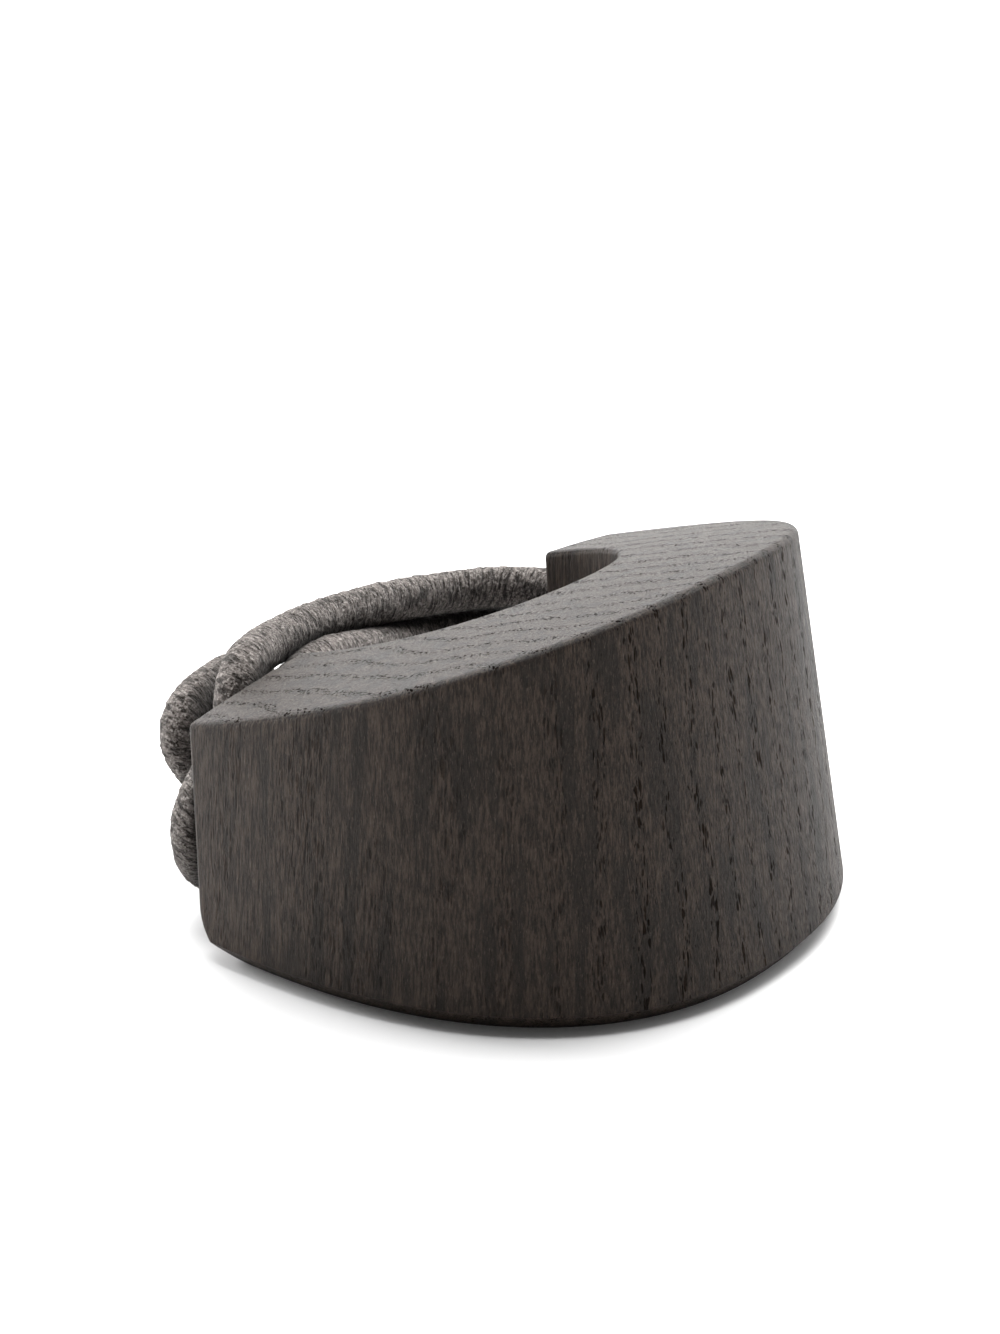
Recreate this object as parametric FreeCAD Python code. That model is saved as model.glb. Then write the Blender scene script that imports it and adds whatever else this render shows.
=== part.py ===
import FreeCAD, Part
import os
from math import cos, pi, radians, sin, tan

# Chunky carved wooden wrist cuff, closed by a loop of round suede cord over a knot.
# Millimetres. +X points to the tall, thick side of the cuff, +Z is up, and the two arms
# end towards -X. The origin is at the middle of the wooden body's box, on the table.

V = FreeCAD.Vector

# Outer wall: a rounded-square oval at the base that leans back and narrows upwards
OUTER_CENTRE = (-24.45, 0.0)
OUTER_FRONT = 63.85
OUTER_BACK = 50.8
OUTER_SIDE = 51.7
OUTER_POWER = 2.26
FLARE = 0.00137          # share of its size that the outer oval loses per mm of height

# Wrist hole
INNER_CENTRE = (-28.05, 4.6)
INNER_LONG = 29.3
INNER_SIDE = 26.55
INNER_POWER = 2.08

LEAN = 0.091             # mm towards -X per mm of height, for both walls and the end faces
BLANK_HEIGHT = 78.0
OVAL_POINTS = 40
WIDE = 150.0             # beyond every side of the body, for cutting shapes
MARGIN = 5.0             # how far cutting shapes pass the faces they cut

# Top: slopes up to +X and is slightly crowned across
TOP_HEIGHT = 54.5        # at the origin
TOP_SLOPE = 0.362
CROWN_RADIUS = 347.0
CROWN_Y = -3.3

# The two arms' end faces
NEAR_END_X = -34.85
FAR_END_X = -28.15
ARM_SPLIT_Y = 4.6

# Rounding, and the bevel that the body stands on
HEEL_RADIUS = 9.0        # base to end face
OUTER_EDGE_RADIUS = 1.3  # round the outer wall, its base and the end faces
INNER_EDGE_RADIUS = 0.9  # round the wrist hole
BEVEL_HEIGHT = 3.4       # bottom of the outer wall
BEVEL_WIDTH = 3.4

# Cord: a cotton core in a suede sleeve, bonded into blind holes in the end faces
CORD_RADIUS = 3.3
CORE_RADIUS = 2.0
GLUE_LENGTH = 1.5
HOLE_REACH = 40.0        # cutting length of a hole, from the cord's end outwards

# Loop: out of the far arm's top hole, round the back, down between the near arm and the
# knot, under the knot's neck, up again and back close under itself to the far arm
LOOP_ROUTE = [
    (-22.0, 41.5, 30.4), (-34.0, 41.5, 30.4), (-44.5, 36.5, 30.1), (-50.5, 28.0, 30.2),
    (-53.0, 17.0, 31.6), (-53.4, 4.0, 33.5), (-52.5, -8.0, 35.0), (-49.0, -19.0, 36.9),
    (-44.6, -28.0, 38.9), (-42.3, -33.0, 36.1), (-41.8, -33.6, 31.0), (-41.8, -38.6, 25.1),
    (-42.0, -43.8, 20.1), (-42.0, -44.3, 13.7), (-42.5, -40.5, 7.9), (-43.0, -33.0, 5.2),
    (-43.0, -26.0, 7.2), (-42.6, -21.8, 13.2), (-42.2, -20.9, 21.6), (-42.7, -22.4, 31.0),
    (-45.3, -11.0, 32.6), (-47.8, 2.0, 29.2), (-50.8, 11.5, 25.6), (-52.1, 19.5, 23.9),
    (-50.5, 28.0, 22.8), (-44.5, 36.5, 22.6), (-34.0, 41.5, 22.9), (-22.0, 41.5, 22.9),
]

# Knot: out of the near arm's hole, through the loop, then an overhand knot. The cord
# winds one and a half turns round itself, and its tail ends inside them, at the back
KNOT_ROUTE = [
    (-27.0, -31.0, 24.1), (-36.0, -31.0, 24.1), (-44.0, -29.0, 23.8), (-51.0, -24.4, 22.4),
    (-57.0, -22.6, 19.8), (-62.0, -20.4, 15.7), (-63.4, -14.0, 11.5), (-63.4, -6.8, 12.8),
    (-63.0, -3.4, 18.8), (-62.3, -7.5, 24.6), (-60.0, -15.0, 27.8), (-57.6, -23.5, 28.8),
    (-56.2, -29.5, 28.2), (-55.0, -32.5, 24.8), (-54.0, -31.2, 19.4), (-53.2, -26.8, 14.5),
    (-52.0, -19.5, 11.8), (-50.8, -12.4, 11.2), (-50.2, -6.6, 12.2), (-50.7, -3.4, 16.2),
    (-52.2, -4.4, 20.0), (-54.6, -9.2, 20.9), (-57.8, -13.2, 20.1), (-60.3, -14.6, 20.0),
]


def signed_power(value, power):
    return abs(value) ** power * (1 if value >= 0 else -1)


def oval(centre, front, back, side, power, scale, z):
    """A closed rounded-square oval at height z, leaning back with height."""
    points = []
    for i in range(OVAL_POINTS):
        angle = pi + 2 * pi * i / OVAL_POINTS
        reach = front if cos(angle) >= 0 else back
        x = centre[0] + reach * scale * signed_power(cos(angle), 2 / power) - LEAN * z
        y = centre[1] + side * scale * signed_power(sin(angle), 2 / power)
        points.append(V(x, y, z))
    curve = Part.BSplineCurve()
    curve.interpolate(points, PeriodicFlag=True)
    return Part.Wire([curve.toShape()])


def oval_block(centre, front, back, side, power, flare, low, high):
    sections = [oval(centre, front, back, side, power, 1 - flare * z, z) for z in (low, high)]
    return Part.makeLoft(sections, True, True)


def slab_below_top():
    """Everything under the sloping, crowned top: a very large round bar along the slope."""
    along = V(1, 0, TOP_SLOPE)
    along.normalize()
    down = V(TOP_SLOPE, 0, -1)
    down.normalize()
    centre = V(0, CROWN_Y, TOP_HEIGHT) + down * CROWN_RADIUS
    bar = Part.makeCylinder(CROWN_RADIUS, 2 * WIDE, centre - along * WIDE, along)
    return bar.rotate(centre, along, 180)


def end_cutter(end_x, low_y, high_y):
    """The space behind one arm's leaning end face."""
    low, high = -MARGIN, BLANK_HEIGHT + MARGIN
    corners = [(end_x - LEAN * low, low), (end_x - LEAN * high, high), (-WIDE, high), (-WIDE, low)]
    wire = Part.makePolygon([V(x, low_y, z) for x, z in corners + corners[:1]])
    return Part.Face(wire).extrude(V(0, high_y - low_y, 0))


def route_wire(route):
    """Straight runs joined by tangent arcs, and the arcs' radii."""
    points = [V(*p) for p in route]
    edges, radii = [], []
    start = points[0]
    for before, corner, after in zip(points, points[1:], points[2:]):
        back, ahead = before - corner, after - corner
        half_turn = (pi - back.getAngle(ahead)) / 2
        reach = 0.45 * min(back.Length, ahead.Length)
        radius = reach / tan(half_turn)
        back.normalize()
        ahead.normalize()
        middle_way = back + ahead
        middle_way.normalize()
        arc_start, arc_end = corner + back * reach, corner + ahead * reach
        middle = corner + middle_way * (radius / cos(half_turn) - radius)
        edges.append(Part.LineSegment(start, arc_start).toShape())
        edges.append(Part.Arc(arc_start, middle, arc_end).toShape())
        radii.append(radius)
        start = arc_end
    edges.append(Part.LineSegment(start, points[-1]).toShape())
    return Part.Wire(edges), radii


def disc(wire, radius):
    """A round face square to the start of a wire."""
    first = wire.OrderedEdges[0]
    normal = first.tangentAt(first.FirstParameter)
    circle = Part.Circle(first.valueAt(first.FirstParameter), normal, radius)
    return Part.Face(Part.Wire([circle.toShape()]))


def cord(name, route):
    """The suede sleeve and the cotton core of one cord."""
    wire, radii = route_wire(route)
    core = wire.makePipe(disc(wire, CORE_RADIUS))
    sleeve = wire.makePipe(disc(wire, CORD_RADIUS).cut(disc(wire, CORE_RADIUS)))
    ideal = pi * CORD_RADIUS ** 2 * wire.Length
    print(name, "length %.1f mm, radii" % wire.Length, ["%.1f" % r for r in radii])
    print(name, "volume / (section x length) = %.4f" % ((sleeve.Volume + core.Volume) / ideal))
    return sleeve, core


def straight_hole(route):
    """A blind hole along a route's first run, deep enough for the cord's end and its glue."""
    start, beyond = V(*route[0]), V(*route[1])
    way = beyond - start
    way.normalize()
    return Part.makeCylinder(CORD_RADIUS, GLUE_LENGTH + HOLE_REACH, start - way * GLUE_LENGTH, way)


def glue_plug(route):
    start, beyond = V(*route[0]), V(*route[1])
    way = beyond - start
    way.normalize()
    return Part.makeCylinder(CORD_RADIUS, GLUE_LENGTH, start - way * GLUE_LENGTH, way)


def plain_cuff():
    """The carved body with its two ends cut, before any edge is rounded."""
    outer = oval_block(OUTER_CENTRE, OUTER_FRONT, OUTER_BACK, OUTER_SIDE, OUTER_POWER,
                       FLARE, 0, BLANK_HEIGHT)
    hole = oval_block(INNER_CENTRE, INNER_LONG, INNER_LONG, INNER_SIDE, INNER_POWER,
                      0, -MARGIN, BLANK_HEIGHT + MARGIN)
    body = outer.cut(hole)
    body = body.cut(end_cutter(NEAR_END_X, -WIDE, ARM_SPLIT_Y))
    body = body.cut(end_cutter(FAR_END_X, ARM_SPLIT_Y, WIDE))
    return body.common(slab_below_top()).Solids[0]


def bevel_cutter():
    """The ring of space outside and below the bevel round the outer wall's foot."""
    def section(z):
        inset = BEVEL_WIDTH * (1 - z / BEVEL_HEIGHT)
        return oval(OUTER_CENTRE, OUTER_FRONT - inset, OUTER_BACK - inset, OUTER_SIDE - inset,
                    OUTER_POWER, 1 - FLARE * z, z)

    low, high = -BEVEL_HEIGHT, 2 * BEVEL_HEIGHT
    cone = Part.makeLoft([section(low), section(high)], True, True)
    slab = Part.makeBox(2 * WIDE, 2 * WIDE, high, V(-WIDE, -WIDE, low / 2))
    return slab.cut(cone)


def edges_that(shape, *tests):
    return [edge for edge in shape.Edges if any(test(edge.BoundBox) for test in tests)]


def is_heel(box):
    return box.ZMax < 0.1 and box.XLength < 0.5 and box.YLength > 10


def is_rim(box):
    return box.ZMin > 30 and box.YLength > 97


def is_inner_rim(box):
    return box.ZMin > 30 and 40 < box.YLength < 60


def is_end_top(box):
    return box.ZMin > 30 and box.XLength < 0.5


def is_upright(box):
    return box.ZMin > 7 and box.ZLength > 18 and box.XLength < 4


def is_outer_upright(box):
    return is_upright(box) and abs(box.YMin + box.YMax) / 2 > 45


def is_inner_upright(box):
    return is_upright(box) and abs(box.YMin + box.YMax) / 2 < 35


def rounded_cuff():
    cuff = plain_cuff()
    cuff = cuff.makeFillet(HEEL_RADIUS, edges_that(cuff, is_heel))
    # The outer uprights run on, tangent, through the heels into the outer base edge
    outer = edges_that(cuff, is_rim, is_end_top, is_outer_upright)
    cuff = cuff.makeFillet(OUTER_EDGE_RADIUS, outer)
    inner = edges_that(cuff, is_inner_rim, is_inner_upright)
    cuff = cuff.makeFillet(INNER_EDGE_RADIUS, inner)
    return cuff.Solids[0]


def build():
    cuff = rounded_cuff().cut(bevel_cutter())
    print("cuff", cuff.isValid(), cuff.BoundBox, "volume %.0f mm3" % cuff.Volume)
    for route in (LOOP_ROUTE, LOOP_ROUTE[::-1], KNOT_ROUTE):
        cuff = cuff.cut(straight_hole(route))
    loop_sleeve, loop_core = cord("loop", LOOP_ROUTE)
    knot_sleeve, knot_core = cord("knot", KNOT_ROUTE)
    return {
        "cuff_body": cuff,
        "loop_sleeve": loop_sleeve,
        "loop_core": loop_core,
        "knot_sleeve": knot_sleeve,
        "knot_core": knot_core,
        "glue_loop_top": glue_plug(LOOP_ROUTE),
        "glue_loop_bottom": glue_plug(LOOP_ROUTE[::-1]),
        "glue_knot": glue_plug(KNOT_ROUTE),
    }


def main():
    os.makedirs("parts", exist_ok=True)
    for name, shape in build().items():
        solid = shape.Solids[0] if shape.ShapeType != "Solid" else shape
        print(name, "valid", solid.isValid(), "solids", len(shape.Solids), "volume %.0f" % solid.Volume)
        solid.exportStep("parts/%s.step" % name)


main()
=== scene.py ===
from math import cos, pi, radians, sin

import bpy
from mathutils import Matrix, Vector, noise


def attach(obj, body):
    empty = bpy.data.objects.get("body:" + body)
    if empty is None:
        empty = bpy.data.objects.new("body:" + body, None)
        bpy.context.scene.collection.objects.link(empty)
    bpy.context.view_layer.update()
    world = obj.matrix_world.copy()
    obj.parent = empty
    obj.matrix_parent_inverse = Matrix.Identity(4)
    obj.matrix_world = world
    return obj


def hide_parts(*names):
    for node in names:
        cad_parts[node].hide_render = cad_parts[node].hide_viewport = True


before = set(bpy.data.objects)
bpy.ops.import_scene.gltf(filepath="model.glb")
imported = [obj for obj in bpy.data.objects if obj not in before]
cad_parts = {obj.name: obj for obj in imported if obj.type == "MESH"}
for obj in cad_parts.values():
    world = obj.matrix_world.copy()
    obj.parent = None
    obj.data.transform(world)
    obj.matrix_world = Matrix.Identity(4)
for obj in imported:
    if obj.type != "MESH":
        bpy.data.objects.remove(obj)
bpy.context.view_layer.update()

# ---------------------------------------------------------------- camera

TARGET = Vector((-0.01855, 0.0034, 0.02915))
CAMERA_DISTANCE = 0.5776
CAMERA_HEADING = radians(128.25)      # horizontal look direction, from +X towards +Y
CAMERA_ELEVATION = radians(24.9)
LENS = 98.2                           # mm, on a sensor this wide
SENSOR_WIDTH = 36
SHIFT = (-0.0016, 0.0213)


def heading_vector(heading):
    return Vector((cos(heading), sin(heading), 0))


def make_camera():
    level = heading_vector(CAMERA_HEADING) * cos(CAMERA_ELEVATION)
    look = level - Vector((0, 0, sin(CAMERA_ELEVATION)))
    data = bpy.data.cameras.new("camera")
    data.lens = LENS
    data.sensor_width = SENSOR_WIDTH
    data.shift_x, data.shift_y = SHIFT
    camera = bpy.data.objects.new("camera", data)
    camera.location = TARGET - look * CAMERA_DISTANCE
    camera.rotation_euler = look.to_track_quat("-Z", "Y").to_euler()
    bpy.context.scene.collection.objects.link(camera)
    bpy.context.scene.camera = camera


# ---------------------------------------------------------------- cords

MM = 0.001
CORD_RADIUS = 3.3 * MM
CORE_RADIUS = 2.0 * MM
NAP = 0.12                     # mean height of the raised nap, mm
SNUG_RADIUS = CORD_RADIUS - 0.1 * MM    # of the sleeve deep in a hole
BORE_RADIUS = CORE_RADIUS + 0.05 * MM   # of the sleeve's inner wall
LIP_DEPTH = 0.35 * MM          # how far a cut end is rounded off
HOLE_MOUTH_X = -0.0315         # just outside the far arm's holes, still inside the near one
FREE_WITHIN = 0.008            # the nap rises to its full height over this distance
SLEEVE_STEP = 0.30 * MM        # between the sleeve's rings of points
SLEEVE_SIDES = 72
CORE_STEP = 0.6 * MM
CORE_SIDES = 48
STRANDS = 9                    # twisted into the core
STRAND_PITCH = 9 * MM          # length of one full twist

LOOP_ROUTE = [
    (-22.0, 41.5, 30.4), (-34.0, 41.5, 30.4), (-44.5, 36.5, 30.1), (-50.5, 28.0, 30.2),
    (-53.0, 17.0, 31.6), (-53.4, 4.0, 33.5), (-52.5, -8.0, 35.0), (-49.0, -19.0, 36.9),
    (-44.6, -28.0, 38.9), (-42.3, -33.0, 36.1), (-41.8, -33.6, 31.0), (-41.8, -38.6, 25.1),
    (-42.0, -43.8, 20.1), (-42.0, -44.3, 13.7), (-42.5, -40.5, 7.9), (-43.0, -33.0, 5.2),
    (-43.0, -26.0, 7.2), (-42.6, -21.8, 13.2), (-42.2, -20.9, 21.6), (-42.7, -22.4, 31.0),
    (-45.3, -11.0, 32.6), (-47.8, 2.0, 29.2), (-50.8, 11.5, 25.6), (-52.1, 19.5, 23.9),
    (-50.5, 28.0, 22.8), (-44.5, 36.5, 22.6), (-34.0, 41.5, 22.9), (-22.0, 41.5, 22.9),
]

KNOT_ROUTE = [
    (-27.0, -31.0, 24.1), (-36.0, -31.0, 24.1), (-44.0, -29.0, 23.8), (-51.0, -24.4, 22.4),
    (-57.0, -22.6, 19.8), (-62.0, -20.4, 15.7), (-63.4, -14.0, 11.5), (-63.4, -6.8, 12.8),
    (-63.0, -3.4, 18.8), (-62.3, -7.5, 24.6), (-60.0, -15.0, 27.8), (-57.6, -23.5, 28.8),
    (-56.2, -29.5, 28.2), (-55.0, -32.5, 24.8), (-54.0, -31.2, 19.4), (-53.2, -26.8, 14.5),
    (-52.0, -19.5, 11.8), (-50.8, -12.4, 11.2), (-50.2, -6.6, 12.2), (-50.7, -3.4, 16.2),
    (-52.2, -4.4, 20.0), (-54.6, -9.2, 20.9), (-57.8, -13.2, 20.1), (-60.3, -14.6, 20.0),
]

SAMPLES_PER_POINT = 48


def centreline(route):
    """Points along the smooth NURBS line that has the route's points as control points."""
    curve = bpy.data.curves.new("route", "CURVE")
    curve.dimensions = "3D"
    curve.resolution_u = SAMPLES_PER_POINT
    spline = curve.splines.new("NURBS")
    spline.points.add(len(route) - 1)
    for point, place in zip(spline.points, route):
        point.co = (*(c * MM for c in place), 1)
    spline.order_u = 3
    spline.use_endpoint_u = True
    holder = bpy.data.objects.new("route", curve)
    mesh = bpy.data.meshes.new_from_object(holder)
    line = [v.co.copy() for v in mesh.vertices]
    bpy.data.objects.remove(holder)
    bpy.data.meshes.remove(mesh)
    return line


def evenly(line, step):
    """The same line with points a fixed step apart."""
    points, travelled = [line[0]], 0.0
    due = step
    for a, b in zip(line, line[1:]):
        span = (b - a).length
        while span > 0 and travelled + span >= due:
            points.append(a.lerp(b, (due - travelled) / span))
            due += step
        travelled += span
    return points


def side_vectors(line):
    """Two vectors square to the line at each point, turned as little as possible on the way."""
    tangents = [(b - a).normalized() for a, b in zip(line, line[1:])]
    tangents.append(tangents[-1])
    across = tangents[0].orthogonal().normalized()
    sides = []
    for tangent in tangents:
        across = (across - tangent * across.dot(tangent)).normalized()
        sides.append((across, tangent.cross(across)))
    return sides


def suede_radius(place, around, along, seed):
    """The sleeve's radius at one spot: soft lumps, slanted cross creases and nap."""
    lumps = noise.noise(place * 160 + Vector((seed, 0, 0))) * 0.14
    way = Vector((cos(around) * 1.3, sin(around) * 1.3, along * 1000 + around * 0.4 + seed))
    creases = abs(noise.noise(way)) * 0.26
    small = Vector((cos(around) * 5, sin(around) * 5, along * 2600 + seed))
    creases += noise.noise(small) * 0.12
    nap = noise.noise(place * 2600) * 0.16
    return CORD_RADIUS + (NAP + lumps + creases + nap) * MM


def freedom(place):
    """How far the nap has risen: 0 deep in a hole, 1 well outside the wood."""
    return min(1.0, max(0.0, (HOLE_MOUTH_X - place.x) / FREE_WITHIN))


def wall_quad(ring, side, sides):
    """Four points of a tube's wall: two on one ring and two on the next."""
    a, b = ring * sides, (ring + 1) * sides
    m = (side + 1) % sides
    return (a + side, a + m, b + m, b + side)


def sleeve_faces(rings, sides):
    """The outer wall, the inner wall, and the rims that join them at both ends."""
    inner = rings * sides
    last = inner - sides
    faces = []
    for ring in range(rings - 1):
        for k in range(sides):
            outer_quad = wall_quad(ring, k, sides)
            faces.append(outer_quad)
            faces.append(tuple(inner + point for point in reversed(outer_quad)))
    for k in range(sides):
        m = (k + 1) % sides
        faces.append((m, k, inner + k, inner + m))
        faces.append((last + k, last + m, inner + last + m, inner + last + k))
    return faces


def new_piece(name, points, faces):
    mesh = bpy.data.meshes.new(name)
    mesh.from_pydata([tuple(p) for p in points], [], faces)
    mesh.shade_smooth()
    piece = bpy.data.objects.new(name, mesh)
    bpy.context.scene.collection.objects.link(piece)
    return piece


def lay_uvs(mesh, uvs):
    """UV coordinates: turns round the cord, and millimetres along it."""
    layer = mesh.uv_layers.new(name="along")
    for loop in mesh.loops:
        layer.data[loop.index].uv = uvs[loop.vertex_index]
    for polygon in mesh.polygons:
        corners = [layer.data[i] for i in polygon.loop_indices]
        turns = [corner.uv[0] for corner in corners]
        crosses_seam = max(turns) - min(turns) > 0.5
        for corner in corners:
            if crosses_seam and corner.uv[0] < 0.5:
                corner.uv = (corner.uv[0] + 1, corner.uv[1])


def sleeve(name, route, seed):
    """A suede tube with napped outer wall, plain inner wall and rounded cut ends."""
    line = evenly(centreline(route), SLEEVE_STEP)
    sides = side_vectors(line)
    rings = len(line)
    points, uvs = [], []
    for wall in ("outer", "inner"):
        for i, (centre, (u, v)) in enumerate(zip(line, sides)):
            along = i * SLEEVE_STEP
            lip = (1 - min(1.0, (i + 1) / 3, (rings - i) / 3)) * LIP_DEPTH
            for k in range(SLEEVE_SIDES):
                angle = 2 * pi * k / SLEEVE_SIDES
                out = u * cos(angle) + v * sin(angle)
                radius = BORE_RADIUS
                if wall == "outer":
                    full = suede_radius(centre + out * CORD_RADIUS, angle, along, seed)
                    radius = SNUG_RADIUS + (full - SNUG_RADIUS) * freedom(centre) - lip
                points.append(centre + out * radius)
                uvs.append((k / SLEEVE_SIDES, along / MM))
    piece = new_piece(name, points, sleeve_faces(rings, SLEEVE_SIDES))
    lay_uvs(piece.data, uvs)
    return piece, line


def cotton(name, route):
    """The core: twisted cotton strands, ending flush with the sleeve."""
    line = evenly(centreline(route), CORE_STEP)
    points = []
    for i, (centre, (u, v)) in enumerate(zip(line, side_vectors(line))):
        twist = 2 * pi * i * CORE_STEP / STRAND_PITCH
        for k in range(CORE_SIDES):
            angle = 2 * pi * k / CORE_SIDES
            groove = abs(sin((angle - twist) * STRANDS / 2))
            radius = CORE_RADIUS * (0.86 + 0.13 * groove)
            points.append(centre + (u * cos(angle) + v * sin(angle)) * radius)
    last = (len(line) - 1) * CORE_SIDES
    faces = []
    for ring in range(len(line) - 1):
        faces += [wall_quad(ring, k, CORE_SIDES) for k in range(CORE_SIDES)]
    faces.append(tuple(reversed(range(CORE_SIDES))))
    faces.append(tuple(last + k for k in range(CORE_SIDES)))
    return new_piece(name, points, faces)


def make_cord(name, route, seed):
    outside, line = sleeve(name + "_suede", route, seed)
    core = cotton(name + "_cotton", route)
    outside.data.materials.append(SUEDE)
    core.data.materials.append(COTTON)
    for piece, node, slot in ((outside, "_sleeve", "suede"), (core, "_core", "cotton_core")):
        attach(piece, "root")
        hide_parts(name + node)


# ---------------------------------------------------------------- materials

RING_WIDTH = 4.8               # one year's growth, mm
EDGE_WEAR = 0.5 * MM           # radius that the wood's edges look worn to
WOOD_RELIEF = 0.42 * MM
SUEDE_RELIEF = 0.6 * MM
PAINTED_SHADE_REACH = 14 * MM        # how near other surfaces have to be for the painted shade to darken the suede


class Nodes:
    """Short ways to add shader nodes and join them."""

    def __init__(self, name):
        self.material = bpy.data.materials.new(name)
        self.material.use_nodes = True
        self.tree = self.material.node_tree
        self.bsdf = self.tree.nodes["Principled BSDF"]

    def put(self, socket, value):
        if isinstance(value, bpy.types.NodeSocket):
            self.tree.links.new(value, socket)
        elif value is not None:
            socket.default_value = value

    def add(self, kind, settings=(), **inputs):
        node = self.tree.nodes.new(kind)
        for key, value in dict(settings).items():
            setattr(node, key, value)
        for key, value in inputs.items():
            self.put(node.inputs[key.replace("_", " ")], value)
        return node

    def math(self, operation, a, b=None):
        node = self.tree.nodes.new("ShaderNodeMath")
        node.operation = operation
        for socket, value in zip(node.inputs, (a, b)):
            self.put(socket, value)
        return node.outputs[0]

    def vector(self, operation, a, b=None):
        node = self.tree.nodes.new("ShaderNodeVectorMath")
        node.operation = operation
        self.put(node.inputs[0], a)
        self.put(node.inputs[1], b)
        return node.outputs["Value" if operation == "LENGTH" else "Vector"]

    def scaled(self, place, factors):
        return self.vector("MULTIPLY", place, factors)

    def millimetres(self, coords):
        """The object's own coordinates, in millimetres."""
        return self.scaled(coords.outputs["Object"], (1 / MM, 1 / MM, 1 / MM))

    def noise(self, place, detail, roughness=0.5, distortion=0.0):
        node = self.add("ShaderNodeTexNoise", Vector=place, Scale=1.0, Detail=detail,
                        Roughness=roughness, Distortion=distortion)
        return node.outputs["Fac"]

    def spots(self, place, size, share):
        """Soft spots in a share of the cells of a cell pattern."""
        node = self.add("ShaderNodeTexVoronoi", Vector=place, Scale=1.0)
        chance = self.add("ShaderNodeSeparateXYZ", Vector=node.outputs["Color"]).outputs["X"]
        kept = self.math("LESS_THAN", chance, share)
        edge = self.math("SUBTRACT", size, node.outputs["Distance"])
        return self.math("MULTIPLY", self.ramp(edge, -0.02, 0.14), kept)

    def ramp(self, value, low, high, to_low=0.0, to_high=1.0):
        """A value eased from one range to another, and held at its ends."""
        node = self.tree.nodes.new("ShaderNodeMapRange")
        node.interpolation_type = "SMOOTHSTEP"
        for key, number in (("Value", value), ("From Min", low), ("From Max", high),
                            ("To Min", to_low), ("To Max", to_high)):
            self.put(node.inputs[key], number)
        return node.outputs["Result"]

    def mix(self, factor, a, b):
        node = self.tree.nodes.new("ShaderNodeMix")
        node.data_type = "RGBA"
        for key, value in ((0, factor), (6, a), (7, b)):
            if isinstance(value, tuple):
                value = (*value, 1)
            self.put(node.inputs[key], value)
        return node.outputs[2]

    def bump(self, height, strength, distance, normal=None):
        node = self.add("ShaderNodeBump", Height=height, Strength=strength, Distance=distance)
        self.put(node.inputs["Normal"], normal)
        return node.outputs["Normal"]

    def finish(self, **inputs):
        for key, value in inputs.items():
            if isinstance(value, tuple):
                value = (*value, 1)
            self.put(self.bsdf.inputs[key.replace("_", " ")], value)
        return self.material


def growth_rings(n, place):
    """1 in the porous early wood of each ring, falling to 0 in its dense late wood."""
    wander = n.noise(n.scaled(place, (0.035, 0.035, 0.012)), detail=3)
    heart = n.vector("SUBTRACT", place, (25, 240, 0))
    from_heart = n.vector("LENGTH", n.scaled(heart, (1, 1, 0)))
    height = n.add("ShaderNodeSeparateXYZ", Vector=place).outputs["Z"]
    ring = n.math("ADD", from_heart, n.math("MULTIPLY", height, 0.07))
    ring = n.math("ADD", ring, n.math("MULTIPLY", wander, 14))
    phase = n.math("FRACT", n.math("DIVIDE", ring, RING_WIDTH))
    early = n.ramp(phase, 0.15, 0.60, 1, 0)
    return n.math("MULTIPLY", early, n.ramp(phase, 0.0, 0.06))


def open_pores(n, place, end_grain, flat_grain):
    """Pores drawn out along the grain, thick in early wood and faint on the flat walls."""
    early = growth_rings(n, place)
    shift = n.add("ShaderNodeTexNoise", Vector=n.scaled(place, (0.6, 0.6, 0.12)), Scale=1.0)
    warped = n.vector("ADD", place, n.scaled(shift.outputs["Color"], (1.4, 1.4, 5)))
    big = n.spots(n.scaled(warped, (1.9, 2.1, 0.20)), n.ramp(early, 0, 1, 0.04, 0.44), 0.60)
    small = n.spots(n.scaled(warped, (2.8, 3.0, 0.34)), n.ramp(early, 0, 1, 0.22, 0.42), 0.5)
    pores = n.math("MAXIMUM", big, n.math("MULTIPLY", small, 0.8))
    shown = n.math("MAXIMUM", n.ramp(flat_grain, 0, 1, 0.62, 0.30), end_grain)
    return n.math("MULTIPLY", pores, shown)


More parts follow.
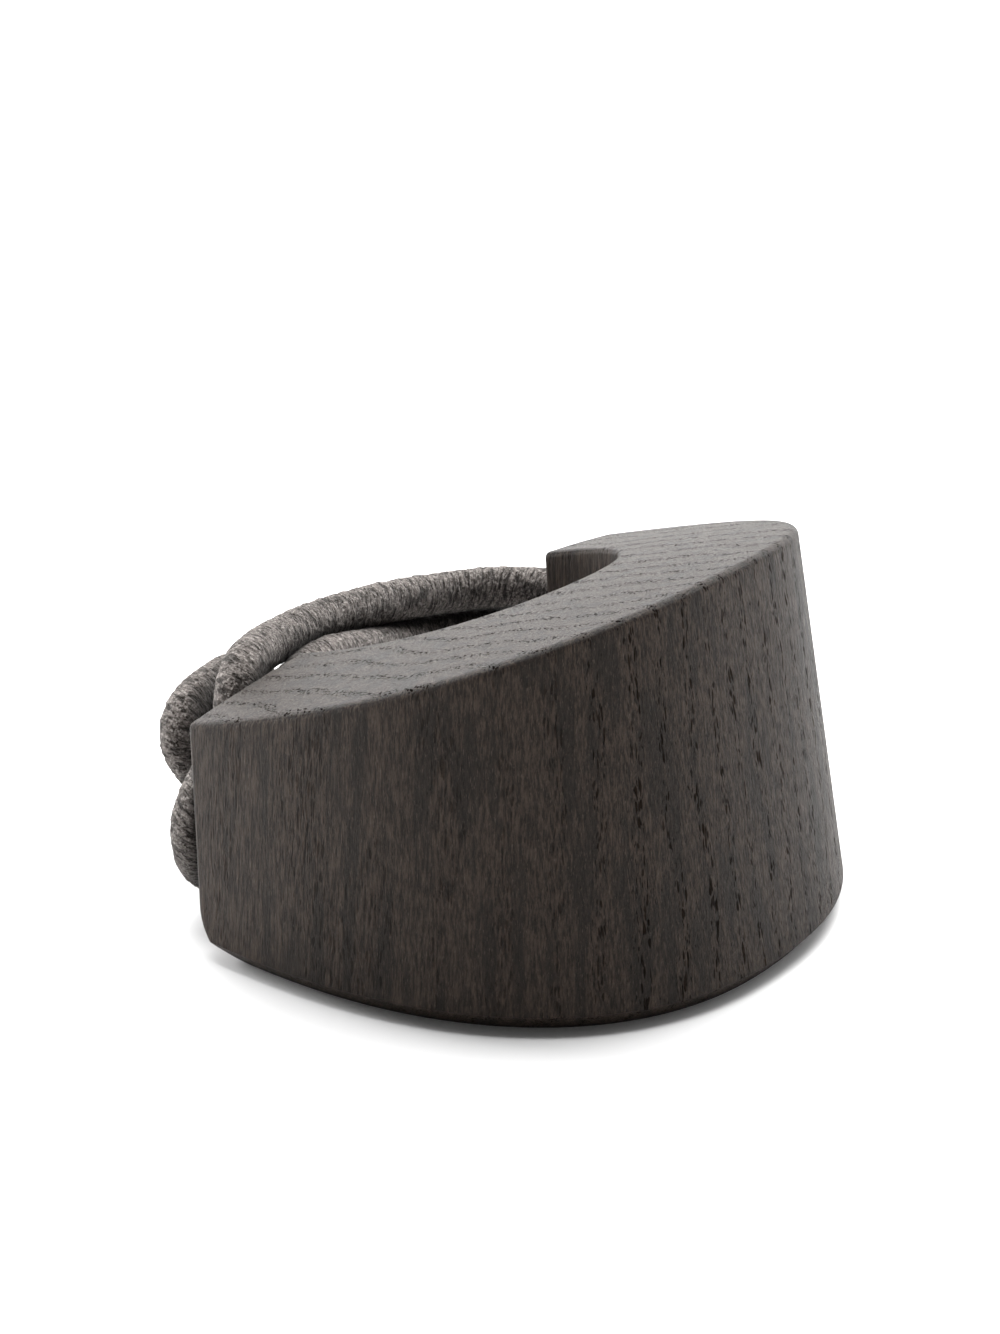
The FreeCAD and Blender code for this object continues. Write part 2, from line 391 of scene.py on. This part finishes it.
def wood():
    """Dark stained ring-porous wood: the grain runs up Z and the growth rings face Y.

    Rings meet the surface flat on the walls that face Y, and edge on elsewhere. The top is
    end grain: rows of short pores along X, crossed by fine rays along Y.
    """
    n = Nodes("stained_wood")
    coords = n.add("ShaderNodeTexCoord")
    place = n.millimetres(coords)
    facing = n.add("ShaderNodeSeparateXYZ", Vector=coords.outputs["Normal"])
    end_grain = n.ramp(facing.outputs["Z"], 0.45, 0.85)
    flat_grain = n.ramp(n.math("ABSOLUTE", facing.outputs["Y"]), 0.45, 0.85)
    pores = open_pores(n, place, end_grain, flat_grain)

    fibre = n.noise(n.scaled(place, (2.6, 2.6, 0.14)), detail=6, roughness=0.72)
    hair = n.noise(n.scaled(place, (6.5, 6.5, 0.55)), detail=3, roughness=0.6)
    band = n.noise(n.scaled(place, (0.30, 0.30, 0.014)), detail=4, roughness=0.55)
    rays = n.noise(n.scaled(place, (4.5, 0.45, 0.8)), detail=4, roughness=0.65)
    cloud = n.noise(n.scaled(place, (0.8, 0.8, 0.3)), detail=5, roughness=0.65)

    base = n.mix(n.ramp(fibre, 0.37, 0.65), (0.0130, 0.0086, 0.0060), (0.054, 0.0372, 0.0274))
    base = n.mix(n.ramp(band, 0.40, 0.49, 0.70, 0), base, (0.0090, 0.0062, 0.0044))
    base = n.mix(n.ramp(cloud, 0.36, 0.52, 0.40, 0), base, (0.009, 0.0066, 0.0051))
    base = n.mix(n.ramp(hair, 0.58, 0.72, 0, 0.5), base, (0.110, 0.084, 0.068))
    base = n.mix(n.ramp(hair, 0.30, 0.42, 0.5, 0), base, (0.006, 0.0045, 0.0035))
    colour = n.mix(n.math("MULTIPLY", pores, 0.9), base, (0.0035, 0.0027, 0.0022))

    relief = n.math("MULTIPLY", pores, -1.7)
    end_rays = n.math("MULTIPLY", rays, end_grain)
    for pattern, height in ((fibre, 0.9), (hair, 0.6), (cloud, 0.7), (end_rays, 1.5)):
        relief = n.math("ADD", relief, n.math("MULTIPLY", pattern, height))
    rounded = n.add("ShaderNodeBevel", {"samples": 6}, Radius=EDGE_WEAR).outputs["Normal"]
    normal = n.bump(relief, 1.0, WOOD_RELIEF, rounded)
    rough = n.math("ADD", n.math("MULTIPLY", pores, 0.35), n.ramp(fibre, 0.3, 0.7, 0.56, 0.42))
    gloss = n.math("MULTIPLY", n.ramp(pores, 0, 0.7, 0.30, 0.02), n.ramp(end_grain, 0, 1, 0.55, 1))
    return n.finish(Base_Color=colour, Roughness=rough, Normal=normal, Specular_IOR_Level=gloss)


def suede():
    """Brushed suede: light and dark strokes of nap across the cord, and painted shade: near black
    wherever other surfaces close in on it.
    """
    n = Nodes("suede")
    coords = n.add("ShaderNodeTexCoord")
    place = n.millimetres(coords)
    spot = n.add("ShaderNodeSeparateXYZ", Vector=coords.outputs["UV"])
    around, along = spot.outputs["X"], spot.outputs["Y"]
    slant = n.math("MULTIPLY", around, 12)
    fine = n.add("ShaderNodeCombineXYZ", X=n.math("MULTIPLY", around, 9),
                 Y=n.math("ADD", n.math("MULTIPLY", along, 2.3), slant)).outputs[0]
    broad = n.scaled(fine, (0.8, 0.45, 1))
    strokes = n.noise(fine, detail=5, roughness=0.70, distortion=0.8)
    crease = n.noise(broad, detail=4, roughness=0.65, distortion=0.5)
    nap = n.noise(n.scaled(place, (2.2, 2.2, 2.2)), detail=5, roughness=0.72)

    base = n.mix(n.ramp(strokes, 0.40, 0.60), (0.020, 0.0150, 0.0125), (0.195, 0.172, 0.159))
    base = n.mix(n.ramp(nap, 0.48, 0.66, 0, 0.75), base, (0.52, 0.48, 0.45))
    base = n.mix(n.ramp(crease, 0.38, 0.52, 0.92, 0), base, (0.009, 0.0066, 0.0052))
    # Painted shade: the suede goes near black where ambient occlusion finds other runs of cord or the
    # wood close by, standing in for the shade there.
    painted_shade_occlusion = n.add("ShaderNodeAmbientOcclusion", {"samples": 8}, Distance=PAINTED_SHADE_REACH).outputs["AO"]
    base = n.mix(n.ramp(painted_shade_occlusion, 0.35, 0.90, 0.96, 0), base, (0.006, 0.0045, 0.0035))

    relief = n.math("ADD", n.math("MULTIPLY", crease, 1.3), strokes)
    relief = n.math("ADD", relief, n.math("MULTIPLY", nap, 0.5))
    normal = n.bump(relief, 1.0, SUEDE_RELIEF)
    return n.finish(Base_Color=base, Roughness=0.95, Normal=normal, Sheen_Weight=0.40,
                    Sheen_Roughness=0.4, Sheen_Tint=(0.66, 0.64, 0.62),
                    Specular_IOR_Level=0.05)


def cotton_material():
    """Pale, matt cotton."""
    n = Nodes("cotton_core")
    place = n.millimetres(n.add("ShaderNodeTexCoord"))
    fibres = n.noise(n.scaled(place, (6, 6, 6)), detail=4, roughness=0.7)
    colour = n.mix(n.ramp(fibres, 0.3, 0.7), (0.30, 0.27, 0.22), (0.62, 0.58, 0.50))
    normal = n.bump(fibres, 0.6, 0.0003)
    return n.finish(Base_Color=colour, Roughness=0.9, Normal=normal)


def glue_material():
    """Amber wood glue, cured clear."""
    n = Nodes("glue")
    place = n.millimetres(n.add("ShaderNodeTexCoord"))
    clouds = n.noise(n.scaled(place, (0.8, 0.8, 0.8)), detail=3)
    colour = n.mix(clouds, (0.42, 0.34, 0.20), (0.62, 0.54, 0.36))
    normal = n.bump(clouds, 0.3, 0.0003)
    return n.finish(Base_Color=colour, Roughness=0.35, Normal=normal)


def paint_node(node, material):
    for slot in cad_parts[node].material_slots:
        slot.material = material


# ---------------------------------------------------------------- studio

FLOOR_REACH = 3.0
FADE = (-0.7, 0.3)             # cosine to the camera's backward direction
WORLD_STRENGTH = (2.9, 0.16)   # ahead of the camera, behind it

# Metres ahead, to the right and up from the target, disc size in metres, power in watts
LIGHTS = {
    "key": ((0.45, 0.08, 1.10), 1.3, 32),
    "left": ((0.45, -0.90, 0.35), 0.5, 9),
}


def make_floor():
    r = FLOOR_REACH
    mesh = bpy.data.meshes.new("floor")
    corners = [(-r, -r, 0), (r, -r, 0), (r, r, 0), (-r, r, 0)]
    mesh.from_pydata(corners, [], [(0, 1, 2, 3)])
    floor = bpy.data.objects.new("floor", mesh)
    bpy.context.scene.collection.objects.link(floor)
    n = Nodes("floor")
    mesh.materials.append(n.finish(Base_Color=(0.86, 0.86, 0.86), Roughness=0.8,
                                   Specular_IOR_Level=0.1))


def make_world():
    """A white studio that is dark behind the camera."""
    world = bpy.data.worlds.new("studio")
    world.use_nodes = True
    tree = world.node_tree
    background = tree.nodes["Background"]
    coords = tree.nodes.new("ShaderNodeTexCoord")
    dot = tree.nodes.new("ShaderNodeVectorMath")
    dot.operation = "DOT_PRODUCT"
    dot.inputs[1].default_value = -heading_vector(CAMERA_HEADING)
    tree.links.new(coords.outputs["Generated"], dot.inputs[0])
    fade = tree.nodes.new("ShaderNodeMapRange")
    fade.interpolation_type = "SMOOTHSTEP"
    for key, number in zip(("From Min", "From Max", "To Min", "To Max"), FADE + WORLD_STRENGTH):
        fade.inputs[key].default_value = number
    tree.links.new(dot.outputs["Value"], fade.inputs["Value"])
    tree.links.new(fade.outputs["Result"], background.inputs["Strength"])
    background.inputs["Color"].default_value = (1, 1, 1, 1)
    bpy.context.scene.world = world


def make_light(name, offset, size, power):
    ahead = heading_vector(CAMERA_HEADING)
    right = Vector((ahead.y, -ahead.x, 0))
    data = bpy.data.lights.new(name, "AREA")
    data.shape = "DISK"
    data.size = size
    data.energy = power
    light = bpy.data.objects.new(name, data)
    light.location = TARGET + ahead * offset[0] + right * offset[1] + Vector((0, 0, offset[2]))
    light.rotation_euler = (TARGET - light.location).to_track_quat("-Z", "Y").to_euler()
    bpy.context.scene.collection.objects.link(light)


def make_studio():
    make_floor()
    make_world()
    for name, (offset, size, power) in LIGHTS.items():
        make_light(name, offset, size, power)
    scene = bpy.context.scene
    scene.view_settings.view_transform = "Standard"
    scene.view_settings.look = "None"


WOOD, SUEDE, COTTON, GLUE = wood(), suede(), cotton_material(), glue_material()

make_camera()
make_cord("loop", LOOP_ROUTE, 3.0)
make_cord("knot", KNOT_ROUTE, 11.0)
paint_node("cuff_body", WOOD)
for plug in ("glue_loop_top", "glue_loop_bottom", "glue_knot"):
    paint_node(plug, GLUE)
make_studio()
